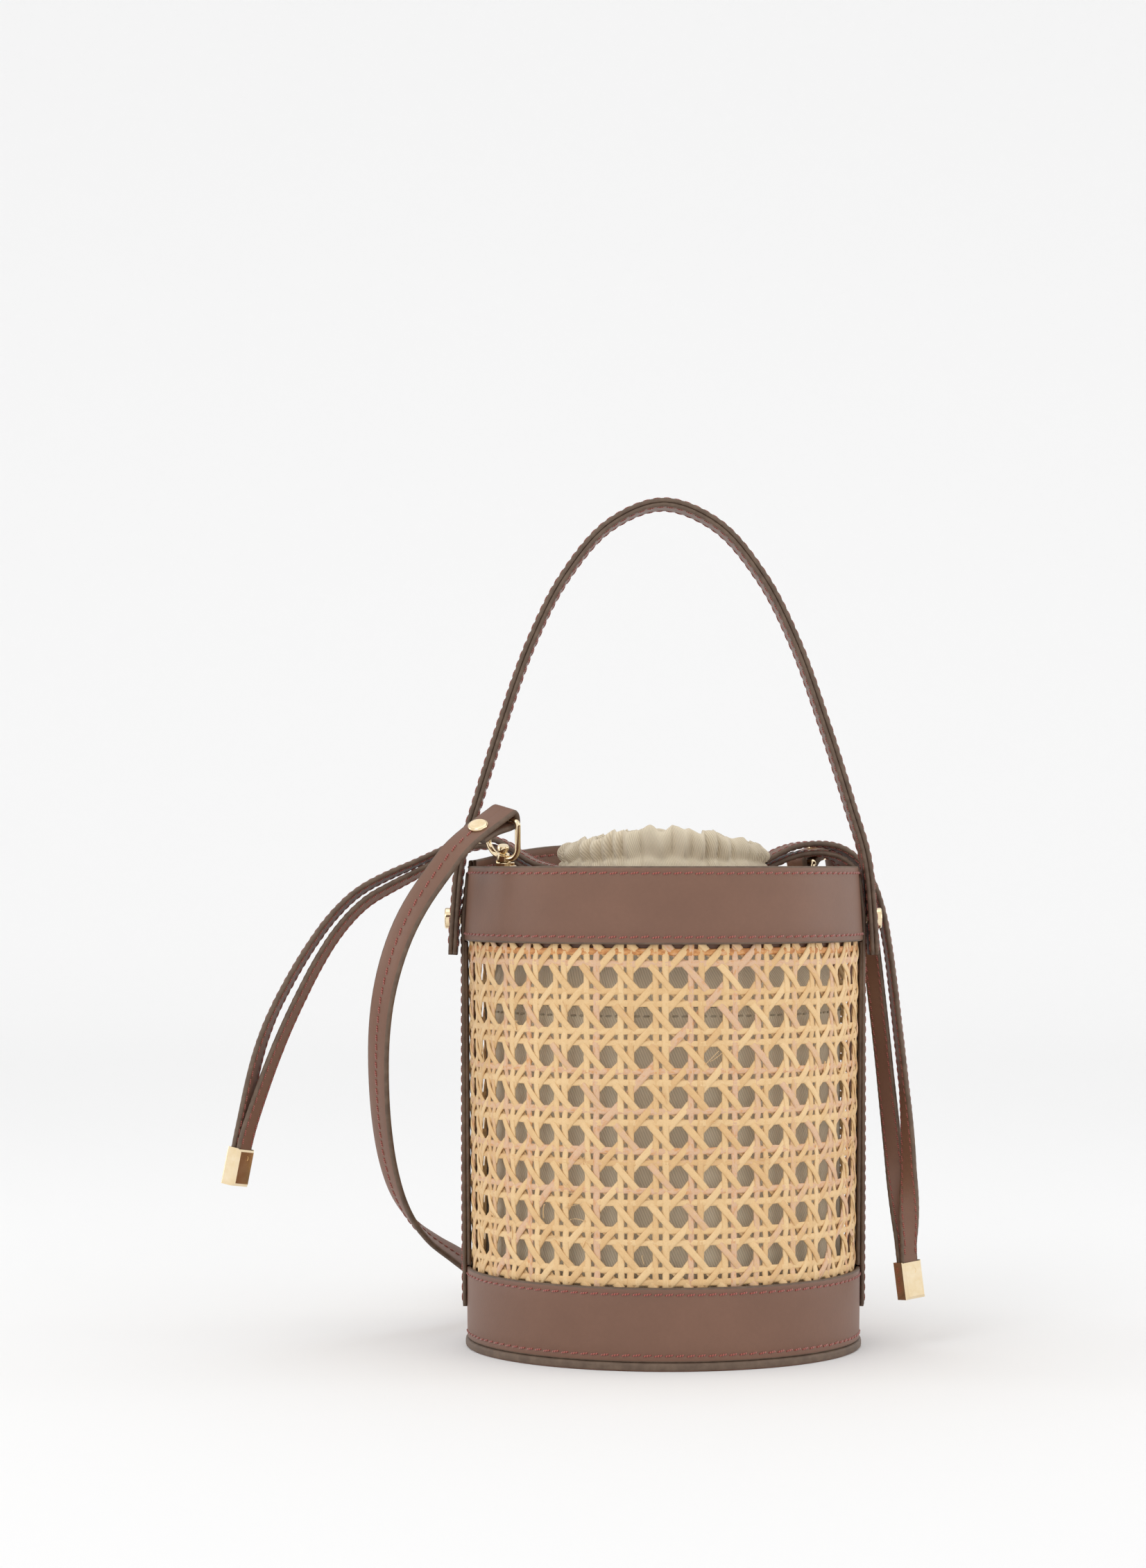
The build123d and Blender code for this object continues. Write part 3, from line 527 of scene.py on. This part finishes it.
LACES = {
    "lace_left_upper": [
        (-38.3, 12.0, 187.0), (-48.0, 19.0, 188.4), (-57.0, 26.5, 193.6), (-65.0, 32.3, 199.4),
        (-75.0, 33.8, 200.2), (-85.5, 30.0, 196.2), (-97.0, 24.0, 190.4), (-109.5, 18.5, 185.0),
        (-121.5, 13.5, 178.6), (-131.5, 9.0, 168.6), (-140.3, 4.8, 156.0), (-148.0, 1.0, 142.6),
        (-154.2, -3.0, 130.0), (-158.8, -6.3, 117.0), (-161.9, -9.0, 103.5), (-164.2, -10.9, 90.0),
        (-166.3, -11.8, 79.0), (-167.6, -12.0, 72.1)],
    "lace_left_lower": [
        (-38.7, 13.0, 183.8), (-48.5, 20.0, 185.0), (-57.8, 27.3, 190.2), (-65.2, 32.9, 196.2),
        (-74.8, 34.0, 196.9), (-85.5, 29.8, 192.6), (-96.8, 23.5, 186.3), (-107.6, 18.0, 180.6),
        (-118.3, 13.7, 174.6), (-128.2, 9.2, 164.0), (-136.0, 5.0, 151.6), (-143.0, 0.8, 137.5),
        (-149.3, -3.2, 123.5), (-154.5, -6.8, 110.0), (-158.6, -9.8, 98.0), (-162.0, -12.3, 87.5),
        (-164.2, -13.4, 79.0), (-165.5, -13.6, 72.1)],
    "lace_right_upper": [
        (39.3, 11.0, 190.6), (46.0, 15.5, 194.4), (53.4, 20.8, 196.9), (61.4, 25.8, 197.7),
        (69.4, 29.6, 197.0), (76.2, 31.6, 193.6), (81.8, 31.4, 187.6), (86.0, 29.4, 179.0),
        (88.9, 26.0, 168.6), (90.8, 21.6, 156.0), (92.2, 16.6, 141.5), (93.4, 11.8, 126.5),
        (94.7, 6.8, 111.5), (95.8, 1.9, 96.5), (96.4, -3.2, 80.5), (96.5, -6.6, 64.0),
        (96.3, -8.4, 48.0), (96.0, -8.1, 35.0), (96.8, -8.2, 28.0)],
    "lace_right_lower": [
        (39.1, 12.4, 187.4), (46.4, 16.9, 190.8), (53.8, 22.0, 193.3), (61.3, 26.7, 194.1),
        (68.4, 30.2, 193.2), (74.2, 31.8, 190.0), (78.6, 31.3, 184.2), (81.4, 29.3, 175.6),
        (83.2, 26.2, 165.0), (84.5, 21.9, 151.5), (85.8, 17.0, 136.5), (87.3, 12.2, 120.0),
        (88.8, 9.4, 103.0), (90.3, 5.5, 86.0), (91.8, 1.8, 69.0), (93.2, -2.4, 52.5),
        (94.8, -6.2, 35.0), (95.6, -6.3, 28.0)],
}
LACE_TURNS = {
    "left_upper": {0: (-0.62, -0.78, 0.0), 4: (-0.16, -0.98, 0.06), 7: (-0.12, -0.96, 0.20),
                   12: (-0.20, -0.95, 0.20), 16: (-0.60, -0.80, 0.05)},
    "left_lower": {0: (-0.62, -0.78, 0.0), 4: (-0.16, -0.98, 0.06), 7: (-0.16, -0.92, 0.32),
                   12: (-0.36, -0.86, 0.30), 16: (-0.60, -0.80, 0.05)},
    "right_upper": {0: (0.62, -0.78, 0.0), 5: (0.42, -0.90, 0.05), 9: (0.16, -0.97, -0.10),
                    13: (0.24, -0.96, -0.15), 15: (0.62, -0.76, -0.10), 17: (0.84, 0.54, 0.10)},
    "right_lower": {0: (0.62, -0.78, 0.0), 5: (0.62, -0.78, 0.0), 8: (0.84, -0.52, 0.0),
                    12: (0.80, -0.58, 0.05), 14: (0.86, -0.40, 0.0), 16: (0.84, 0.54, 0.10)},
}
for name, route in LACES.items():
    side = name.split("_")[1]
    turns = LACE_TURNS[name[5:]]
    line = nurbs_line(name + "_line", route, 12)
    lace = make_piece(name + "_leather", band(
        line, turning(turns, len(line), route), 8.0, 2.1, rows=(2.6, -2.6), pitch=3.3, stitch=2.7,
        scallop=0.05, trim=(2.0, 8.0), thread=0.30), LEATHER_SET)
    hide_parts(name)

# ---------------------------------------------------------------- leather of the body

RIM_Z, BAND_T = 188.6, 1.7
BACK_RIM = np.array([(-82, 190.6), (-76, 191.0), (-61, 194.5), (-41, 197.2), (-15, 196.6),
                     (15, 192.6), (40, 188.9), (60, 188.6), (82, 188.6)], float)
rim_line = smooth_through(np.c_[BACK_RIM, np.zeros(len(BACK_RIM))], 200)


def cane_r(z):
    return 75.8 + 1.3 * (z - 31.3) / 128.0


def band_r(z):
    return 77.1 - 1.8 * (z - 159.3) / 29.3


def ring(side, low, high, r_low, r_high, n=150):
    """Stations round half the body, with each one's width and the way it points."""
    turn = np.linspace(0, np.pi, n) + (np.pi if side == "front" else 0)
    out = np.stack([np.cos(turn), np.sin(turn), np.zeros(n)], -1)
    if side == "back" and high is None:
        high = np.interp(out[:, 0] * 76.5, rim_line[:, 0], rim_line[:, 1])
    high = np.broadcast_to(RIM_Z if high is None else high, (n,))
    a = out * r_low + np.array([0, 0, low])
    b = out * r_high(high)[:, None] if callable(r_high) else out * r_high
    b = b + np.stack([np.zeros(n), np.zeros(n), high], -1)
    return (a + b) / 2, b - a, np.linalg.norm(b - a, axis=1)


def body_band(name, side, low, high, r_low, r_high, thick, rows, node, **more):
    points, across, width = ring(side, low, high, r_low, r_high)
    half = width.max() / 2
    piece = make_piece(name, band(points, across, width, thick, rows=[half * r for r in rows], pitch=4.05,
                                  stitch=3.5, scallop=0.02, groove=0.13, **more), LEATHER_SET)
    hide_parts(node)
    return piece


for side in ("front", "back"):
    body_band(f"top_band_{side}_leather", side, 159.3, None, band_r(159.3) + 0.85,
              lambda z: band_r(z) + 0.85, BAND_T, (0.815, -0.815), f"top_band_{side}", faces=(1, -1))
    body_band(f"bottom_band_{side}_leather", side, 3.2, 31.3, cane_r(3.2) + 0.85, cane_r(31.3) + 0.85,
              BAND_T, (0.81, -0.81), f"bottom_band_{side}")
    body_band(f"top_facing_{side}_leather", side, 157.0, None, 74.5, lambda z: band_r(z) - 0.75, 1.4,
              (0.815,), f"top_facing_{side}")

LATHE = [(0.0, 0.0, 0), (70, 0.0, 0), (77.2, 0.0, 0), (77.8, 0.5, 1), (77.9, 1.0, 1),
         (77.9, 2.2, 1), (77.8, 2.8, 1), (77.2, 3.2, 1), (70, 3.2, 0), (0.05, 3.2, 0)]


def lathe(profile, count=240):
    turn = np.linspace(0, 2 * np.pi, count, endpoint=False)
    grid = np.array([[(max(r, 0.05) * math.cos(t), max(r, 0.05) * math.sin(t), z) for t in turn]
                     for r, z, _ in profile])
    quads = strip_faces(len(profile), count)
    slots = np.repeat([p[2] for p in profile[:-1]], count)
    uv = np.stack([grid[..., 0], grid[..., 1]], -1).reshape(-1, 2) * MM
    return [(grid.reshape(-1, 3) * MM, quads, slots, uv)]


base = make_piece("base_leather", lathe(LATHE), [LEATHER, EDGE])
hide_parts("base_panel")

STRIP_LINE = [(78.15, 15.0), (78.4, 60.0), (78.5, 110.0), (78.6, 150.0), (78.72, 162.0), (78.6, 170.0),
              (77.6, 179.0), (76.95, 186.0)]
for sign, side in ((1, "right"), (-1, "left")):
    line = smooth_through([(sign * r, 0, z) for r, z in STRIP_LINE], 140)
    padding = smooth_through([(sign * (cane_r(z) + 0.75), 0, z) for z in (31.8, 75.0, 115.0, 158.8)], 60)
    strip = make_piece(f"side_strip_{side}_leather", band(
        line, np.tile([0, -sign, 0.0], (len(line), 1)), 14.0, 1.7, rows=(4.6, -4.6), faces=(1, -1),
        pitch=3.9, stitch=3.2, scallop=0.05, bend=0.0, round_ends=5.0, trim=(4, 4))
        + band(padding, np.tile([0, -sign, 0.0], (len(padding), 1)), 13.4, 1.6, rows=(), trim=(2, 2)),
        LEATHER_SET)
    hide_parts(f"side_strip_{side}")

HANDLE = [(84.7, 153.8), (83.9, 168.0), (81.5, 192.0), (75.3, 213.3), (65.6, 244.3), (53.8, 277.3),
          (40.3, 303.8), (22.0, 324.8), (0.0, 333.2), (-22.0, 324.8), (-40.3, 303.8), (-53.8, 277.3),
          (-65.6, 244.3), (-75.3, 213.3), (-81.5, 192.0), (-83.9, 168.0), (-84.7, 153.8)]
outline = smooth_through([(x, 0, z) for x, z in HANDLE], 420)
arc_run = unit(np.gradient(outline, axis=0))
inward = np.stack([-arc_run[:, 2], np.zeros(len(arc_run)), arc_run[:, 0]], -1)
for name, depth in (("outer", 0.875), ("inner", 2.625)):
    line = outline + inward * depth
    layer = make_piece(f"handle_{name}_leather", band(
        line, np.tile([0.0, 1.0, 0.0], (len(line), 1)), 20.0, 1.74, rows=(7.6, -7.6),
        faces=(-1,) if name == "outer" else (1,), pitch=4.0, stitch=3.3, scallop=0.20, round_ends=3.5,
        trim=(3, 3), groove=0.16), LEATHER_SET, body="handle")
    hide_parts(f"handle_{name}")

# ---------------------------------------------------------------- woven cane

CELLS, ROW = 36, 14.9
COLUMN = 2 * np.pi / CELLS
FIRST_COLUMN = -np.pi / 2 + 0.0495
FIRST_ROW = 146.9
Z_LOW, Z_HIGH = 3.4, 163.6
HALF_V, HALF_H = 1.88 / 77.0, 2.2


def strand(turn, z, lift, width, tone, seed_v):
    """One flat split-cane strand carried along the wall."""
    r = cane_r(np.clip(z, 0, 170)) - 0.9 + lift
    r = np.where(z > 159.3, np.minimum(r, band_r(z) - 0.9 + np.minimum(lift, 0.25)), r)
    points = np.stack([r * np.cos(turn), r * np.sin(turn), z], -1)
    out = np.stack([np.cos(turn), np.sin(turn), np.zeros_like(turn)], -1)
    run = unit(np.gradient(points, axis=0))
    side = unit(np.cross(out, run))
    up = np.cross(run, side)
    h, t = width / 2, 0.30
    section = [(-h, -t * 0.8), (h, -t * 0.8), (h * 0.98, t * 0.35), (h * 0.55, t * 0.95),
               (-h * 0.55, t * 0.95), (-h * 0.98, t * 0.35)]
    s = along(points)
    wob = 1 + 0.05 * np.sin(s / 3.1 + seed_v * 9) + 0.03 * np.sin(s / 1.3 + seed_v * 4)
    grid = np.stack([points + side * (u * wob)[:, None] + up * v for u, v in section], 1)
    quads = strip_faces(len(points), 6)
    uv = np.stack(np.broadcast_arrays(np.array([u for u, _ in section])[None] + seed_v * 50,
                                      s[:, None] + seed_v * 700), -1).reshape(-1, 2)
    ends = np.concatenate([cap_faces(0, 6, True), cap_faces((len(points) - 1) * 6, 6, False)])
    return (grid.reshape(-1, 3) * MM, np.concatenate([quads, ends]), 0, uv), np.full(len(points) * 6, tone)


def wave_lift(spot, cell, crossings, values):
    """Smooth lift along a strand from its lift at each crossing in one repeat of the weave."""
    c = np.array(crossings)
    v = np.array(values)
    c3 = np.concatenate([c - cell, c, c + cell])
    v3 = np.tile(v, 3)
    x = np.mod(spot, cell)
    i = np.clip(np.searchsorted(c3, x, side="right") - 1, 0, len(c3) - 2)
    f = (x - c3[i]) / (c3[i + 1] - c3[i])
    f = f * f * (3 - 2 * f)
    return v3[i] * (1 - f) + v3[i + 1] * f


def tone_of(kind):
    base = rng.random()
    if kind == "v":
        return 0.10 + 0.78 * base ** 1.3
    return 0.08 + 0.74 * base ** 1.2


def cane_half(side):
    start, stop = (np.pi, 2 * np.pi) if side == "front" else (0.0, np.pi)
    pieces, tones = [], []

    def add(turn, z, lift, width, tone):
        keep = (turn >= start - 1e-6) & (turn <= stop + 1e-6) & (z >= Z_LOW) & (z <= Z_HIGH)
        if keep.sum() < 4:
            return
        first = np.argmax(keep)
        size = np.argmin(keep[first:]) if not keep[first:].all() else len(keep) - first
        cut = slice(first, first + size)
        part, shade = strand(turn[cut], z[cut], lift[cut], width, tone, rng.random())
        pieces.append(part)
        tones.append(shade)

    hv = HALF_V / COLUMN
    hh = HALF_H / ROW
    for k in range(-2, CELLS + 2):
        for s in (-1, 1):
            centre = FIRST_COLUMN + (k + 0.5) * COLUMN + s * HALF_V
            centre = np.mod(centre, 2 * np.pi)
            if not (start < centre < stop) or k < 0 or k >= CELLS:
                continue
            z = np.arange(Z_LOW, Z_HIGH, 1.2)
            row = (z - FIRST_ROW) / ROW
            flip = 1 if s > 0 else -1
            lift = wave_lift(row, 1.0, [0.0, 0.5 - hh, 0.5 + hh], [0.0, 0.34 * flip, -0.34 * flip])
            drift = 0.12 * np.sin(z / 23 + k * 2.1 + s) / 77
            add(centre + drift, z, lift, 2.5 + rng.normal(0, 0.12), tone_of("v"))
    turn = np.arange(start, stop, 1.2 / 77)
    for j in range(-10, 3):
        for s in (-1, 1):
            z0 = FIRST_ROW + (j + 0.5) * ROW + s * HALF_H
            if not Z_LOW + 1 < z0 < Z_HIGH - 1:
                continue
            col = (turn - FIRST_COLUMN) / COLUMN
            flip = -1 if s < 0 else 1
            lift = wave_lift(col, 1.0, [0.0, 0.5 - hv, 0.5 + hv], [0.0, 0.34 * flip, -0.34 * flip])
            tone = 0.95 if (j == 0 and s > 0) else tone_of("h")
            wander = 0.15 * np.sin(turn * 7 + j + s * 2)
            add(turn, z0 + wander, lift, 2.5 + rng.normal(0, 0.12), tone)
    for slope in (1, -1):
        for k in range(-14, CELLS + 14):
            row = np.arange((Z_LOW - FIRST_ROW) / ROW, (Z_HIGH - FIRST_ROW) / ROW, 0.075)
            col = k + 0.5 + slope * row
            turn_d = FIRST_COLUMN + col * COLUMN
            lift = wave_lift(row, 1.0, [0.0, 0.5], [-0.62 * slope, 0.62 * slope])
            tone = tone_of("d")
            width = 2.65 + rng.normal(0, 0.12)
            for shift in (-2 * np.pi, 0, 2 * np.pi):
                if k in range(0, CELLS):
                    add(turn_d + shift, FIRST_ROW + row * ROW, lift, width, tone)
    for _ in range(26):
        t0 = start + 0.1 + rng.random() * (stop - start - 0.2)
        z0 = 36 + rng.random() * 118
        s = np.linspace(0, 1, 12)
        bow = rng.normal(0, 1.0)
        length = 3 + 5 * rng.random()
        angle = rng.random() * np.pi
        turn_f = t0 + (s * math.cos(angle) * length - bow * s * (1 - s) * 2) / 77
        z_f = z0 + s * math.sin(angle) * length + bow * s * (1 - s) * 3
        add(turn_f, z_f, 0.55 + 0.75 * s, 0.16, 0.15)
    piece = make_piece(f"cane_{side}_weave", pieces, [CANE], attribute=np.concatenate(tones))
    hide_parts(f"cane_{side}")
    return piece


for side in ("front", "back"):
    cane_half(side)

# ---------------------------------------------------------------- drawstring pouch

# row of the cloth: radius, height, pleat depth, slow folds, up-and-down waviness
POUCH_ROWS = [
    (2, 6.4, 0, 0, 0), (30, 6.4, 0, 0, 0), (60, 6.5, 0, 0.2, 0),
    (67.5, 7.2, 0, 0.3, 0), (69.4, 10, 0, 0.5, 0),
    (69.6, 30, 0.05, 0.8, 0), (69.4, 60, 0.08, 1.0, 0), (69.4, 95, 0.10, 1.0, 0), (69.6, 125, 0.15, 0.7, 0),
    (69.9, 132.6, 0.15, 0.4, 0), (69.3, 134.0, 0.1, 0.4, 0), (69.9, 135.4, 0.2, 0.4, 0),
    (69.0, 142, 0.5, 0.6, 0), (65.0, 151, 0.9, 0.9, 0.2),
    (57.0, 161, 1.3, 0.9, 0.5), (48.0, 169, 1.7, 0.8, 0.8),
    (41.2, 176, 1.8, 0.6, 0.9), (37.4, 180.5, 1.5, 0.3, 0.6), (38.4, 182.5, 1.0, 0.4, 0.5),
    (39.9, 186, 0.9, 0.5, 0.6), (39.8, 189.6, 1.3, 0.6, 0.6), (38.4, 191.8, 1.7, 0.6, 0.5),
    (38.6, 193.5, 2.2, 0.8, 0.5), (39.4, 197.0, 2.5, 0.9, 0.6), (39.2, 200.6, 2.5, 0.9, 0.9),
    (38.2, 202.6, 2.3, 0.8, 1.1), (36.9, 203.4, 2.0, 0.7, 1.2), (35.8, 202.2, 1.8, 0.6, 1.1),
    (34.9, 198.0, 1.6, 0.4, 0.6),
    (34.0, 193.0, 1.5, 0.2, 0.4), (33.2, 187.0, 1.2, 0.2, 0.3), (33.6, 182.5, 1.2, 0.2, 0.2),
]


def pouch_cloth():
    n = 460
    turn = np.linspace(0, 2 * np.pi, n, endpoint=False)
    knots = np.array(POUCH_ROWS)
    dense = smooth_through(knots[:, :3] * [1, 1, 0], 118)
    knot_s, dense_s = along(knots[:, :2] * 1.0), along(dense[:, :2])
    scale = dense_s / dense_s[-1] * knot_s[-1]
    extra = np.stack([np.interp(scale, knot_s, knots[:, i]) for i in (2, 3, 4)], -1)
    phase = 34 * turn + 1.3 * np.sin(3 * turn + 0.6) + 0.9 * np.sin(7 * turn + 2.0) + 0.5 * np.sin(13 * turn)
    lump = np.abs(np.sin(phase / 2)) ** 0.6
    pleat = 1.9 * lump - 1.2 + 0.22 * np.sin(2 * phase + 1.1) + 0.25 * np.sin(5 * turn + 0.4)
    slow = 0.6 * np.sin(5 * turn + 1.2) + 0.5 * np.sin(9 * turn + 0.3) + 0.3 * np.sin(14 * turn + 2.2)
    bob = np.sin(17 * turn + 0.8 * np.sin(4 * turn)) + 0.5 * np.sin(29 * turn + 1.0)
    r, z = dense[:, 0][:, None], dense[:, 1][:, None]
    lag = np.clip((z - 134) / 60, 0, 1.2) * (0.05 + 0.05 * np.sin(6 * turn + 0.5))[None]
    whole_turn, whole_pleat = np.r_[turn, 2 * np.pi], np.r_[pleat, pleat[0]]
    folded = np.stack([np.interp(turn + shift, whole_turn, whole_pleat, period=2 * np.pi)
                       for shift in lag])
    rr = r + extra[:, 0:1] * folded + extra[:, 1:2] * slow[None]
    rr = np.where(z < 150, np.minimum(rr, 70.7), rr)
    zz = z + extra[:, 2:3] * bob[None] * 0.7 - 0.35 * extra[:, 0:1] * folded * (z > 150)
    zz = zz - 6.5 * np.clip((z - 189) / 13, 0, 1) * np.cos(turn)[None] ** 2
    grid = np.stack([rr * np.cos(turn) - 0.5, rr * np.sin(turn), np.maximum(zz, 5.6)], -1)
    quads = strip_faces(len(dense), n)
    uv = np.stack(np.broadcast_arrays(turn[None] * 0.0695, (dense_s * MM)[:, None]), -1)
    parts = [(grid.reshape(-1, 3) * MM, quads, 0, uv.reshape(-1, 2))]
    spots = np.arange(0, 2 * np.pi, 3.6 / 69.6)
    for level in (132.2, 135.8):
        out = np.stack([np.cos(spots), np.sin(spots), np.zeros_like(spots)], -1)
        run = np.stack([-np.sin(spots), np.cos(spots), np.zeros_like(spots)], -1)
        up = np.tile([0, 0, 1.0], (len(spots), 1))
        radius = np.interp(spots, turn, rr[np.argmin(abs(dense[:, 1] - level))])
        centre = out * (radius + 0.05)[:, None] + up * level - np.array([0.5, 0, 0])
        p, q, _, u = stitches(centre, run, up, out, 2.6, 0.22, 0.05)
        parts.append((p, q, 1, u))
    return parts


SEAM_THREAD = edge_material("pouch_thread", (0.52, 0.46, 0.34), (0.40, 0.34, 0.25))
pouch = make_piece("pouch_cloth", pouch_cloth(), [TWILL, SEAM_THREAD])
solid = pouch.modifiers.new("cloth", "SOLIDIFY")
solid.thickness = 0.0006
solid.offset = -1
with bpy.context.temp_override(object=pouch, active_object=pouch, selected_objects=[pouch]):
    bpy.ops.object.modifier_apply(modifier="cloth")
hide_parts("pouch_body", "pouch_shoulder", "pouch_channel", "pouch_ruffle")

# ---------------------------------------------------------------- carried-over CAD nodes


def dress(name, material):
    data = nodes[name].data
    data.materials.clear()
    data.materials.append(material)


for name in nodes:
    if name.startswith(("d_ring", "hook", "gate_pin", "handle_stud", "handle_screw", "strap_rivet",
                        "cap_screw", "end_cap")):
        dress(name, GOLD)
    elif name.startswith(("ring_tab", "seam_facing")):
        dress(name, LEATHER)
    elif name == "base_board":
        dress(name, BOARD)

# ---------------------------------------------------------------- floor


def backdrop():
    """A pale floor that curves up into a wall behind the bag."""
    across = np.linspace(-6, 6, 9)
    bend = [(-4, 0), (0, 0), (2.2, 0)] + [(2.2 + 1.2 * math.sin(a), 1.2 - 1.2 * math.cos(a))
                                          for a in np.linspace(0.1, np.pi / 2, 12)] + [(3.4, 6)]
    grid = np.array([[(x, y, z) for x in across] for y, z in bend])
    mesh = bpy.data.meshes.new("floor")
    mesh.from_pydata(grid.reshape(-1, 3).tolist(), [], strip_faces(len(bend), 9, False).tolist())
    mesh.materials.append(floor_shader.material)
    for p in mesh.polygons:
        p.use_smooth = True
    floor = bpy.data.objects.new("floor", mesh)
    bpy.context.collection.objects.link(floor)
    return floor


backdrop()
